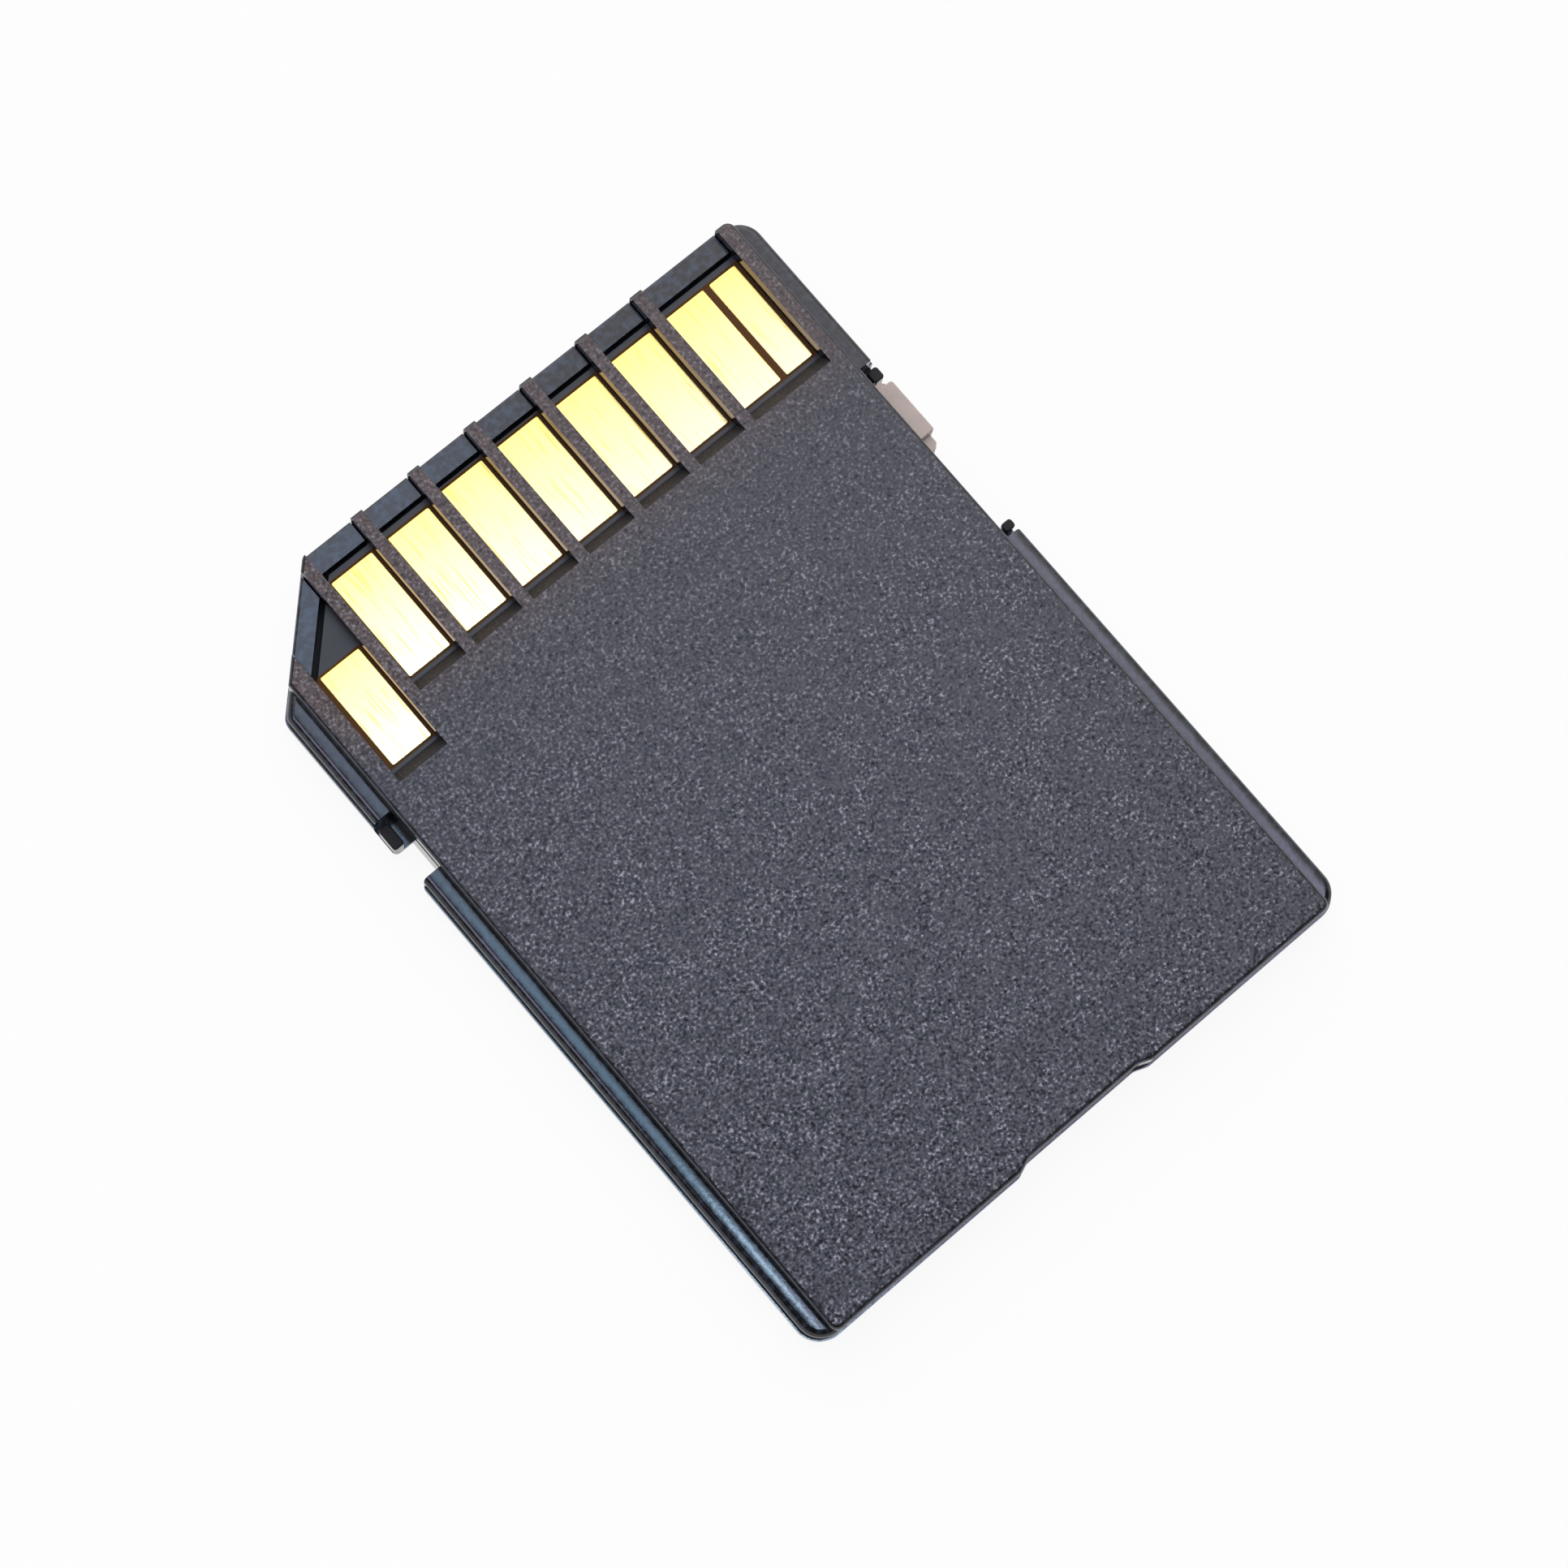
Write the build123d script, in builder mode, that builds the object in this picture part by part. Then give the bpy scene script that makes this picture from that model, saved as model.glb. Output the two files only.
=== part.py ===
"""Full-size SD memory card, lying on its label side with the contact side up.

Two moulded cover halves meet at a seam and clamp a circuit board between them. The back cover has
windows over the contacts, with ribs between them. A small slider in a slot of the right edge sets
the write protection.

X runs across the card, Y along it towards the contacts and Z up. The origin is on the label face,
under the middle of the card. Sizes are in millimetres.
"""
import os
from math import sqrt

from build123d import *

os.makedirs("parts", exist_ok=True)

# Card outline
CARD_WIDTH = 24.0
CARD_LENGTH = 32.0
CARD_THICKNESS = 2.1
CORNER_RADIUS = 1.0
CUT_CORNER = 4.0
CUT_RADIUS = 0.5
DRAFT = 1.5
EDGE_RADIUS = 0.1
# Cutting shapes reach this far past what they cut
BEYOND = 4.0

# Finger recess in the rear edge
GRIP_WIDTH = 5.9
GRIP_SLOPE = 0.5
GRIP_DEPTH = 0.2
GRIP_RADIUS = 0.4

# Seam between the two halves: the back half is a hair smaller
SEAM_Z = 0.7
SEAM_STEP = 0.07

# Side rails, lower than the face between them
RAIL_WIDTH = 0.78
RAIL_Z = 1.4
RAIL_EDGE_RADIUS = 0.28
FACE_CORNER_RADIUS = 0.35
FACE_EDGE_RADIUS = 0.18

# Circuit board and the room for it
BOARD_TOP = 1.35
BOARD_THICKNESS = 0.3
BOARD_GAP = 0.07
BOARD_CUT_GAP = 0.17
BOARD_BEVEL = 0.05
HEAD_WIDTH = 21.7
BODY_LEFT = -10.5
BODY_RIGHT = 10.2
BODY_FRONT = 8.7
BODY_REAR = -14.9
LEDGE_WIDTH = 0.45

# Cover walls
FLOOR = 0.35
ROOF = 0.4
CHIP_ROOM_WIDTH = 20.4
CHIP_ROOM_FRONT = 6.9

# Low lip in front of the contacts, with slots that take the front ends of the ribs
LIP_Z = 1.6
LIP_DEPTH = 0.94
CUT_LIP_DEPTH = 0.8
LIP_SLOT_Z = 1.0
LIP_SLOT_GAP = 0.06

# Contacts: one to six are alike, seven and eight share a window, nine stands back beside the cut corner
CONTACT_THICKNESS = 0.03
CONTACT_PITCH = 2.5
CONTACT_WIDTH = 1.86
CONTACT_LENGTH = 4.3
CONTACT_FRONT = 1.34
CONTACT_RADIUS = 0.08
FIRST_CONTACT_X = -6.87
CONTACT_7_X = 8.085
CONTACT_7_WIDTH = 1.77
CONTACT_8_X = 9.825
CONTACT_8_WIDTH = 1.23
CONTACT_9_X = -9.32
CONTACT_9_WIDTH = 1.76
CONTACT_9_LENGTH = 3.98
CONTACT_9_FRONT = 3.69

# Windows and ribs
RIB_WIDTH = 0.47
RIB_COUNT = 7
WINDOW_8_RIGHT = 10.56
WINDOW_9_LEFT = -10.42
WINDOW_REAR = 9.66
WINDOW_9_REAR = 7.64
RAMP_RUN = 0.5

# Side notches and the pegs at their ends
LEFT_NOTCH = (4.66, 6.1)
LEFT_PEG = 0.93
LOCK_SLOT = (1.57, 8.25)
FRONT_PEG = 0.5
REAR_PEG = 0.36
PEG_GAP = 0.18
PEG_OUTER = 11.97
PEG_WIDTH = 0.45
PEG_RADIUS = 0.12
PEG_Z = 1.0
TRENCH_Z = 0.15
MOUTH_RADIUS = 0.25
MOUTH_CLEARANCE = 0.01
# Two places closer than this count as one
NEAR = 0.001

# Lock slider and its channel
SLIDER_CLEARANCE = 0.08
SLIDER_PLAY = 0.06
SLIDER_LENGTH = 3.07
SHANK_OUTER = 11.75
SHANK_Z = (0.3, 1.1)
SHANK_CHAMFER = 0.15
TAB_OUTER = 11.97
TAB_LENGTH = 2.33
TAB_FRONT = 7.95
TAB_Z = (0.12, 1.3)
TAB_RADIUS = 0.12
CHANNEL_INNER = 10.4
CHANNEL_Z = (0.42, 0.98)

# Label panel on the hidden face
PANEL_WIDTH = 20.6
PANEL_LENGTH = 23.0
PANEL_Y = -2.5
PANEL_DEPTH = 0.06
PANEL_RADIUS = 0.8

# Parts under the board
MEMORY_CHIP = (14.0, 17.0, 0.6)
MEMORY_CHIP_AT = (-1.0, -5.5)
CONTROLLER_CHIP = (5.5, 5.5, 0.55)
CONTROLLER_CHIP_AT = (-4.0, 8.2)
CHIP_CHAMFER = 0.05
PASSIVE_LENGTH = 1.0
PASSIVE_WIDTH = 0.5
PASSIVE_HEIGHT = 0.4
PASSIVE_PITCH = 2.2
PASSIVE_COUNT = 3
CAP_LENGTH = 0.25
CAP_RAISE = 0.02
CAPACITOR_ROW_AT = (3.2, 9.6)
RESISTOR_ROW_AT = (3.2, 7.0)

HALF_WIDTH = CARD_WIDTH / 2
HALF_LENGTH = CARD_LENGTH / 2
FACE_EDGE = HALF_WIDTH - RAIL_WIDTH
BACK_HEIGHT = CARD_THICKNESS - SEAM_Z
BOARD_BOTTOM = BOARD_TOP - BOARD_THICKNESS
LIP_REAR = HALF_LENGTH - LIP_DEPTH
# Y minus X on the cut corner's edge, on the inner edge of the lip along it and on the board's edge there
CUT_LINE = HALF_LENGTH + HALF_WIDTH - CUT_CORNER
CUT_LIP_LINE = CUT_LINE - CUT_LIP_DEPTH * sqrt(2)
BOARD_CUT_LINE = CUT_LIP_LINE - BOARD_CUT_GAP * sqrt(2)
FIRST_RIB_X = FIRST_CONTACT_X - CONTACT_PITCH / 2
TONGUE_INNER = CHANNEL_INNER + SLIDER_CLEARANCE
SHANK_INNER = FACE_EDGE + SLIDER_CLEARANCE
SLIDER_FRONT = LOCK_SLOT[1] - SLIDER_CLEARANCE
MOUTH_X = HALF_WIDTH + MOUTH_CLEARANCE
RIBS = [FIRST_RIB_X + index * CONTACT_PITCH for index in range(RIB_COUNT)]
# Each window is left edge, right edge and rear edge: the ninth contact's first, then one to six,
# then the wide one that contacts seven and eight share
WINDOWS = [(WINDOW_9_LEFT, RIBS[0] - RIB_WIDTH / 2, WINDOW_9_REAR)]
for rib, next_rib in zip(RIBS, RIBS[1:]):
    WINDOWS.append((rib + RIB_WIDTH / 2, next_rib - RIB_WIDTH / 2, WINDOW_REAR))
WINDOWS.append((RIBS[-1] + RIB_WIDTH / 2, WINDOW_8_RIGHT, WINDOW_REAR))

# Contacts one to nine: middle across the card, width, distance behind the front edge and length
CONTACTS = [
    (rib + CONTACT_PITCH / 2, CONTACT_WIDTH, CONTACT_FRONT, CONTACT_LENGTH) for rib in RIBS[:-1]
]
CONTACTS.append((CONTACT_7_X, CONTACT_7_WIDTH, CONTACT_FRONT, CONTACT_LENGTH))
CONTACTS.append((CONTACT_8_X, CONTACT_8_WIDTH, CONTACT_FRONT, CONTACT_LENGTH))
CONTACTS.append((CONTACT_9_X, CONTACT_9_WIDTH, CONTACT_9_FRONT, CONTACT_9_LENGTH))

CHIPS = [
    ("memory_chip", MEMORY_CHIP, MEMORY_CHIP_AT),
    ("controller_chip", CONTROLLER_CHIP, CONTROLLER_CHIP_AT),
]
PASSIVE_ROWS = [("capacitor", CAPACITOR_ROW_AT), ("resistor", RESISTOR_ROW_AT)]

# Notches in the back cover: side of the card, and the two ends along the card
NOTCHES = [
    (-1, LEFT_NOTCH[0], LEFT_NOTCH[1] + LEFT_PEG + PEG_GAP),
    (1, LOCK_SLOT[0] - REAR_PEG - PEG_GAP, LOCK_SLOT[1] + FRONT_PEG + PEG_GAP),
]

# Notches in the front cover are shorter, because its pegs stand at their ends
PEG_NOTCHES = [(-1, *LEFT_NOTCH), (1, *LOCK_SLOT)]

# Pegs: side of the card, the end of the notch, the peg's length and which way along Y it lies
PEGS = [
    (-1, LEFT_NOTCH[1], LEFT_PEG, 1),
    (1, LOCK_SLOT[1], FRONT_PEG, 1),
    (1, LOCK_SLOT[0], REAR_PEG, -1),
]

# Outline of the card, with the cut corner and the finger recess
with BuildSketch() as outline:
    with BuildLine():
        Polyline(
            (-HALF_WIDTH, -HALF_LENGTH),
            (-GRIP_WIDTH / 2, -HALF_LENGTH),
            (-GRIP_WIDTH / 2 + GRIP_SLOPE, -HALF_LENGTH + GRIP_DEPTH),
            (GRIP_WIDTH / 2 - GRIP_SLOPE, -HALF_LENGTH + GRIP_DEPTH),
            (GRIP_WIDTH / 2, -HALF_LENGTH),
            (HALF_WIDTH, -HALF_LENGTH),
            (HALF_WIDTH, HALF_LENGTH),
            (-HALF_WIDTH + CUT_CORNER, HALF_LENGTH),
            (-HALF_WIDTH, HALF_LENGTH - CUT_CORNER),
            close=True,
        )
    make_face()
    left_points = outline.vertices().group_by(Axis.X)[0].sort_by(Axis.Y)
    right_points = outline.vertices().group_by(Axis.X)[-1]
    fillet([left_points[0], *right_points], CORNER_RADIUS)
    cut_rear = outline.vertices().group_by(Axis.X)[0].sort_by(Axis.Y)[-1]
    cut_front = outline.vertices().group_by(Axis.Y)[-1].sort_by(Axis.X)[0]
    fillet([cut_rear, cut_front], CUT_RADIUS)
    fillet(outline.vertices().filter_by(lambda point: abs(point.X) < GRIP_WIDTH), GRIP_RADIUS)

# Outline of the back half, a seam step smaller
with BuildSketch() as back_outline:
    add(outline.sketch)
    offset(amount=-SEAM_STEP, mode=Mode.REPLACE)

# Room for the board: a narrow body and a wide head behind the lip
with BuildSketch() as board_room:
    with BuildLine():
        Polyline(
            (BODY_LEFT, BODY_REAR),
            (BODY_RIGHT, BODY_REAR),
            (BODY_RIGHT, BODY_FRONT),
            (HEAD_WIDTH / 2, BODY_FRONT),
            (HEAD_WIDTH / 2, LIP_REAR),
            (LIP_REAR - CUT_LIP_LINE, LIP_REAR),
            (-HEAD_WIDTH / 2, CUT_LIP_LINE - HEAD_WIDTH / 2),
            (-HEAD_WIDTH / 2, BODY_FRONT),
            (BODY_LEFT, BODY_FRONT),
            close=True,
        )
    make_face()

# Footprint of the lip: a strip along the front edge and the cut corner, between the end windows
with BuildSketch() as lip_strip:
    with BuildLine():
        Polyline(
            (WINDOW_9_LEFT, CUT_LIP_LINE + WINDOW_9_LEFT),
            (LIP_REAR - CUT_LIP_LINE, LIP_REAR),
            (WINDOW_8_RIGHT, LIP_REAR),
            (WINDOW_8_RIGHT, HALF_LENGTH + BEYOND),
            (WINDOW_9_LEFT, HALF_LENGTH + BEYOND),
            close=True,
        )
    make_face()

# Footprints of the side notches, each widened by a round where it meets the side wall
notch_sketches = []
for side, start, end in [*NOTCHES, *PEG_NOTCHES]:
    with BuildSketch() as notch:
        with Locations((side * (FACE_EDGE + BEYOND / 2), (start + end) / 2)):
            Rectangle(BEYOND, end - start)
        with Locations((side * (MOUTH_X + BEYOND / 2), (start + end) / 2)):
            Rectangle(BEYOND, end - start + BEYOND)
        mouth = notch.vertices().filter_by(lambda point: abs(abs(point.X) - MOUTH_X) < NEAR)
        fillet([point for point in mouth if start - NEAR < point.Y < end + NEAR], MOUTH_RADIUS)
    notch_sketches.append(notch.sketch)
back_notches = notch_sketches[:len(NOTCHES)]
front_notches = notch_sketches[len(NOTCHES):]

# Back cover
with BuildPart() as back_cover:
    # Slab as high as the side rails
    with BuildSketch(Plane.XY.offset(SEAM_Z)):
        add(back_outline.sketch)
    extrude(amount=RAIL_Z - SEAM_Z, taper=DRAFT)
    fillet(back_cover.edges().group_by(Axis.Z)[-1], RAIL_EDGE_RADIUS)
    # Face between the rails, flush with the slab at the front, the rear and the cut corner
    with BuildSketch(Plane.XY.offset(SEAM_Z)):
        add(back_outline.sketch)
        RectangleRounded(
            2 * FACE_EDGE, CARD_LENGTH - 2 * SEAM_STEP, FACE_CORNER_RADIUS, mode=Mode.INTERSECT
        )
    extrude(amount=BACK_HEIGHT, taper=DRAFT)
    fillet(back_cover.edges().group_by(Axis.Z)[-1], FACE_EDGE_RADIUS)
    # Rooms for the board and for the parts on it
    with BuildSketch(Plane.XY.offset(SEAM_Z)):
        add(board_room.sketch)
    extrude(amount=BOARD_TOP - SEAM_Z, mode=Mode.SUBTRACT)
    with BuildSketch(Plane.XY.offset(BOARD_TOP)):
        with Locations((0, (BODY_REAR + CHIP_ROOM_FRONT) / 2)):
            Rectangle(CHIP_ROOM_WIDTH, CHIP_ROOM_FRONT - BODY_REAR)
    extrude(amount=CARD_THICKNESS - ROOF - BOARD_TOP, mode=Mode.SUBTRACT)
    # Seat for the front cover's lip, with the ribs left standing in its slots
    with BuildSketch(Plane.XY.offset(SEAM_Z)):
        add(lip_strip.sketch)
    extrude(amount=LIP_SLOT_Z - SEAM_Z, mode=Mode.SUBTRACT)
    with BuildSketch(Plane.XY.offset(LIP_SLOT_Z)):
        add(lip_strip.sketch)
        with Locations([(rib, HALF_LENGTH) for rib in RIBS]):
            Rectangle(RIB_WIDTH, 2 * BEYOND, mode=Mode.SUBTRACT)
    extrude(amount=LIP_Z - LIP_SLOT_Z, mode=Mode.SUBTRACT)
    # Contact windows, open at the front, with a ramp at the rear end
    for left, right, rear in WINDOWS:
        with BuildSketch(Plane.YZ.offset(left)):
            with BuildLine():
                Polyline(
                    (rear + RAMP_RUN, BOARD_TOP),
                    (rear, CARD_THICKNESS),
                    (rear, CARD_THICKNESS + BEYOND),
                    (HALF_LENGTH + BEYOND, CARD_THICKNESS + BEYOND),
                    (HALF_LENGTH + BEYOND, BOARD_TOP),
                    close=True,
                )
            make_face()
        extrude(amount=right - left, mode=Mode.SUBTRACT)
    # Side notches
    with BuildSketch(Plane.XY.offset(SEAM_Z)):
        add(back_notches)
    extrude(amount=BACK_HEIGHT, mode=Mode.SUBTRACT)
    # Upper half of the slider's channel
    with BuildSketch(Plane.XY.offset(SEAM_Z)):
        with Locations(((CHANNEL_INNER + FACE_EDGE) / 2, sum(LOCK_SLOT) / 2)):
            Rectangle(FACE_EDGE - CHANNEL_INNER, LOCK_SLOT[1] - LOCK_SLOT[0])
    extrude(amount=CHANNEL_Z[1] - SEAM_Z, mode=Mode.SUBTRACT)

back_cover.part.label = "back_cover"
export_step(back_cover.part, "parts/back_cover.step")

# Front cover
with BuildPart() as front_cover:
    # Lip, flush with the back cover's wall beside it, with slots for the ribs and a gap at both ends
    with BuildSketch(Plane.XY.offset(SEAM_Z)):
        add(back_outline.sketch)
    extrude(amount=LIP_Z - SEAM_Z, taper=DRAFT)
    fillet(front_cover.edges().group_by(Axis.Z)[-1], EDGE_RADIUS)
    with BuildSketch(Plane.XY.offset(SEAM_Z)):
        add(lip_strip.sketch)
    extrude(amount=LIP_Z - SEAM_Z, mode=Mode.INTERSECT)
    with BuildSketch(Plane.XY.offset(LIP_SLOT_Z)):
        with Locations([(rib, HALF_LENGTH) for rib in RIBS]):
            Rectangle(RIB_WIDTH + 2 * LIP_SLOT_GAP, 2 * BEYOND)
        with Locations((WINDOW_9_LEFT, HALF_LENGTH), (WINDOW_8_RIGHT, HALF_LENGTH)):
            Rectangle(2 * LIP_SLOT_GAP, 2 * BEYOND)
    extrude(amount=LIP_Z - LIP_SLOT_Z, mode=Mode.SUBTRACT)
    # Label-side shell
    with BuildSketch(Plane.XY.offset(SEAM_Z)):
        add(outline.sketch)
    extrude(amount=-SEAM_Z, taper=DRAFT)
    fillet(front_cover.edges().group_by(Axis.Z)[0], EDGE_RADIUS)
    # Room for the parts under the board, with a ledge that the board lies on
    with BuildSketch(Plane.XY.offset(FLOOR)):
        add(board_room.sketch)
    extrude(amount=SEAM_Z - FLOOR, mode=Mode.SUBTRACT)
    with BuildSketch(Plane.XY.offset(FLOOR)):
        add(board_room.sketch)
        offset(amount=-LEDGE_WIDTH, mode=Mode.SUBTRACT)
    extrude(amount=BOARD_BOTTOM - FLOOR)
    # Shallow panel on the label face
    with BuildSketch():
        with Locations((0, PANEL_Y)):
            RectangleRounded(PANEL_WIDTH, PANEL_LENGTH, PANEL_RADIUS)
    extrude(amount=PANEL_DEPTH, mode=Mode.SUBTRACT)
    # Side notches, and the lower half of the slider's channel
    with BuildSketch():
        add(front_notches)
    extrude(amount=SEAM_Z, mode=Mode.SUBTRACT)
    with BuildSketch(Plane.XY.offset(CHANNEL_Z[0])):
        with Locations(((CHANNEL_INNER + FACE_EDGE) / 2, sum(LOCK_SLOT) / 2)):
            Rectangle(FACE_EDGE - CHANNEL_INNER, LOCK_SLOT[1] - LOCK_SLOT[0])
    extrude(amount=SEAM_Z - CHANNEL_Z[0], mode=Mode.SUBTRACT)
    # Pegs at the notch ends, each in a trench that keeps it off the wall and the rail
    for side, notch_end, length, way in PEGS:
        with BuildSketch(Plane.XY.offset(TRENCH_Z)):
            with Locations((side * (FACE_EDGE + BEYOND / 2), notch_end + way * (length + PEG_GAP) / 2)):
                Rectangle(BEYOND, length + PEG_GAP)
        extrude(amount=SEAM_Z - TRENCH_Z, mode=Mode.SUBTRACT)
        with BuildSketch(Plane.XY.offset(TRENCH_Z)):
            with Locations((side * (PEG_OUTER - PEG_WIDTH / 2), notch_end + way * length / 2)):
                RectangleRounded(PEG_WIDTH, length, PEG_RADIUS)
        extrude(amount=PEG_Z - TRENCH_Z)
    peg_tops = front_cover.edges().filter_by_position(Axis.Z, PEG_Z, PEG_Z)
    fillet(peg_tops.filter_by(lambda edge: abs(edge.center().X) > FACE_EDGE), PEG_RADIUS / 2)

front_cover.part.label = "front_cover"
export_step(front_cover.part, "parts/front_cover.step")

# Lock slider: a tongue in the channel, a shank in the slot and a finger tab
with BuildPart() as lock_slider:
    with BuildSketch(Plane.XY.offset(CHANNEL_Z[0] + SLIDER_PLAY)):
        with Locations(((TONGUE_INNER + SHANK_INNER) / 2, SLIDER_FRONT - SLIDER_LENGTH / 2)):
            Rectangle(SHANK_INNER - TONGUE_INNER, SLIDER_LENGTH)
    extrude(amount=CHANNEL_Z[1] - CHANNEL_Z[0] - 2 * SLIDER_PLAY)
    with BuildSketch(Plane.XY.offset(SHANK_Z[0])) as shank:
        with Locations(((SHANK_INNER + SHANK_OUTER) / 2, SLIDER_FRONT - SLIDER_LENGTH / 2)):
            Rectangle(SHANK_OUTER - SHANK_INNER, SLIDER_LENGTH)
        chamfer(shank.vertices().group_by(Axis.X)[-1], SHANK_CHAMFER)
    extrude(amount=SHANK_Z[1] - SHANK_Z[0])
    with BuildSketch(Plane.XY.offset(TAB_Z[0])) as tab:
        with Locations(((SHANK_INNER + TAB_OUTER) / 2, TAB_FRONT - TAB_LENGTH / 2)):
            Rectangle(TAB_OUTER - SHANK_INNER, TAB_LENGTH)
        fillet(tab.vertices().group_by(Axis.X)[-1], TAB_RADIUS)
    extrude(amount=TAB_Z[1] - TAB_Z[0])
    outer_edges = lock_slider.edges().filter_by(lambda edge: edge.center().X > SHANK_OUTER)
    fillet(outer_edges.group_by(Axis.Z)[0] + outer_edges.group_by(Axis.Z)[-1], TAB_RADIUS / 2)

lock_slider.part.label = "lock_slider"
export_step(lock_slider.part, "parts/lock_slider.step")

# Circuit board
with BuildPart() as circuit_board:
    with BuildSketch(Plane.XY.offset(BOARD_BOTTOM)):
        add(board_room.sketch)
        offset(amount=-BOARD_GAP, mode=Mode.REPLACE)
        with Locations((0, BOARD_CUT_LINE)):
            Rectangle(
                2 * CARD_LENGTH, BEYOND, rotation=45, align=(Align.CENTER, Align.MIN), mode=Mode.SUBTRACT
            )
    extrude(amount=BOARD_THICKNESS)
    # Bevelled upper edge along the lip
    chamfer(circuit_board.edges().group_by(Axis.Z)[-1].sort_by(Axis.Y)[-2:], BOARD_BEVEL)

circuit_board.part.label = "circuit_board"
export_step(circuit_board.part, "parts/circuit_board.step")

# Contacts
for number, (x, width, front, length) in enumerate(CONTACTS, start=1):
    with BuildPart() as contact:
        with BuildSketch(Plane.XY.offset(BOARD_TOP)):
            with Locations((x, HALF_LENGTH - front - length / 2)):
                RectangleRounded(width, length, CONTACT_RADIUS)
        extrude(amount=CONTACT_THICKNESS)
    contact.part.label = f"contact_{number}"
    export_step(contact.part, f"parts/contact_{number}.step")

# Memory and controller chips, hanging under the board
for name, (length_x, length_y, height), (x, y) in CHIPS:
    with BuildPart() as chip:
        with BuildSketch(Plane.XY.offset(BOARD_BOTTOM - height)):
            with Locations((x, y)):
                Rectangle(length_x, length_y)
        extrude(amount=height)
        chamfer(chip.faces().sort_by(Axis.Z)[0].edges(), CHIP_CHAMFER)
    chip.part.label = name
    export_step(chip.part, f"parts/{name}.step")

# Capacitors and resistors under the board: a ceramic body between two end caps
for name, (row_x, row_y) in PASSIVE_ROWS:
    for number in range(PASSIVE_COUNT):
        x = row_x + number * PASSIVE_PITCH
        body_z = BOARD_BOTTOM - PASSIVE_HEIGHT / 2
        with BuildPart() as passive:
            with Locations((x, row_y, body_z)):
                Box(PASSIVE_LENGTH, PASSIVE_WIDTH - 2 * CAP_RAISE, PASSIVE_HEIGHT - 2 * CAP_RAISE)
            with Locations((x, row_y, body_z)):
                with GridLocations(PASSIVE_LENGTH - CAP_LENGTH, 0, 2, 1):
                    Box(CAP_LENGTH, PASSIVE_WIDTH, PASSIVE_HEIGHT)
        passive.part.label = f"{name}_{number + 1}"
        export_step(passive.part, f"parts/{name}_{number + 1}.step")
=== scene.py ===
"""Dresses a full-size memory card and lays it on a white studio floor, contact side up.

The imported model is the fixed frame. The covers, the slider, the board and the parts under the
board keep their solids and get their finishes here. The contact pads are rebuilt with the rolled
edge that etching and plating leave. Sizes in the classes are in millimetres unless a name says
otherwise.
"""
import logging
from collections.abc import Sequence
from dataclasses import dataclass
from enum import Enum
from math import cos, pi, sin
from typing import Any

import bmesh
import bpy
from mathutils import Matrix, Vector


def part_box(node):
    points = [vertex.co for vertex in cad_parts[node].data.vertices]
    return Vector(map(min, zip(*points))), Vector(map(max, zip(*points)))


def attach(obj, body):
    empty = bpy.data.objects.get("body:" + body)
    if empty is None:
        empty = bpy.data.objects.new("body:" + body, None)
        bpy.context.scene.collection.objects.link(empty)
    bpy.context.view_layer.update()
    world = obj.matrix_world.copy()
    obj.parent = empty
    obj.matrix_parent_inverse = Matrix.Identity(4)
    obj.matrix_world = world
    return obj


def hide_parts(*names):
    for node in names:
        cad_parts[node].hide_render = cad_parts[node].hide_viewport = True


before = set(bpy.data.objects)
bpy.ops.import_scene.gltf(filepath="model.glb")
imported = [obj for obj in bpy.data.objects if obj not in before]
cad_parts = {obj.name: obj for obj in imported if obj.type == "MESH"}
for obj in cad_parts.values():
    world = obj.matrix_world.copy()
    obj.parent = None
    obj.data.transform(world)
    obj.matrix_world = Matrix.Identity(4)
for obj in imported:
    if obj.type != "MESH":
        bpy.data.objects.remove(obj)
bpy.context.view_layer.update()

MM = 0.001
LOG = logging.getLogger("memory_card")

# What Blender's noise gives on average, and how many radians its waves turn for each unit of scale
NOISE_MIDDLE = (0.5, 0.5, 0.5)
WAVE_RADIANS = 20.0

Colour = tuple[float, float, float, float]
Inputs = dict[str | int, Any]
Outputs = bpy.types.NodeOutputs
Socket = bpy.types.NodeSocket
Tree = bpy.types.NodeTree


def linear(hex_colour: str) -> Colour:
    """Turns an sRGB hex colour into the linear one that the shaders take.

    The numbers are those of the sRGB standard.

    Args:
        hex_colour: Six hex digits with a leading hash.

    Returns:
        Red, green, blue and an alpha of one, all linear.
    """
    values = [int(hex_colour[start:start + 2], 16) / 255 for start in (1, 3, 5)]
    red, green, blue = (
        value / 12.92 if value <= 0.04045 else ((value + 0.055) / 1.055) ** 2.4 for value in values
    )
    return red, green, blue, 1.0


def per_metre(size: float) -> float:
    """Gives a texture scale whose cells are about this many millimetres wide."""
    return 1 / (size * MM)


def add_node(
    tree: Tree, kind: str, inputs: Inputs | None = None, **settings: Any
) -> bpy.types.Node:
    """Adds one shader node, sets its properties and fills or links its inputs.

    Args:
        tree: The node tree that the node goes into.
        kind: Blender's type name of the node.
        inputs: Input names or numbers, each with a value to set or an output socket to link.
        **settings: Properties of the node itself.

    Returns:
        The new node.
    """
    node = tree.nodes.new(kind)
    for name, value in settings.items():
        setattr(node, name, value)
    for name, value in (inputs or {}).items():
        if isinstance(value, Socket):
            tree.links.new(value, node.inputs[name])
        else:
            node.inputs[name].default_value = value
    return node


def blank_material(name: str) -> tuple[bpy.types.Material, Tree]:
    """Makes a material with an empty node tree.

    Args:
        name: The material's name.

    Returns:
        The material and its node tree.
    """
    material = bpy.data.materials.new(name)
    material.use_nodes = True
    material.node_tree.nodes.clear()
    return material, material.node_tree


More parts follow.
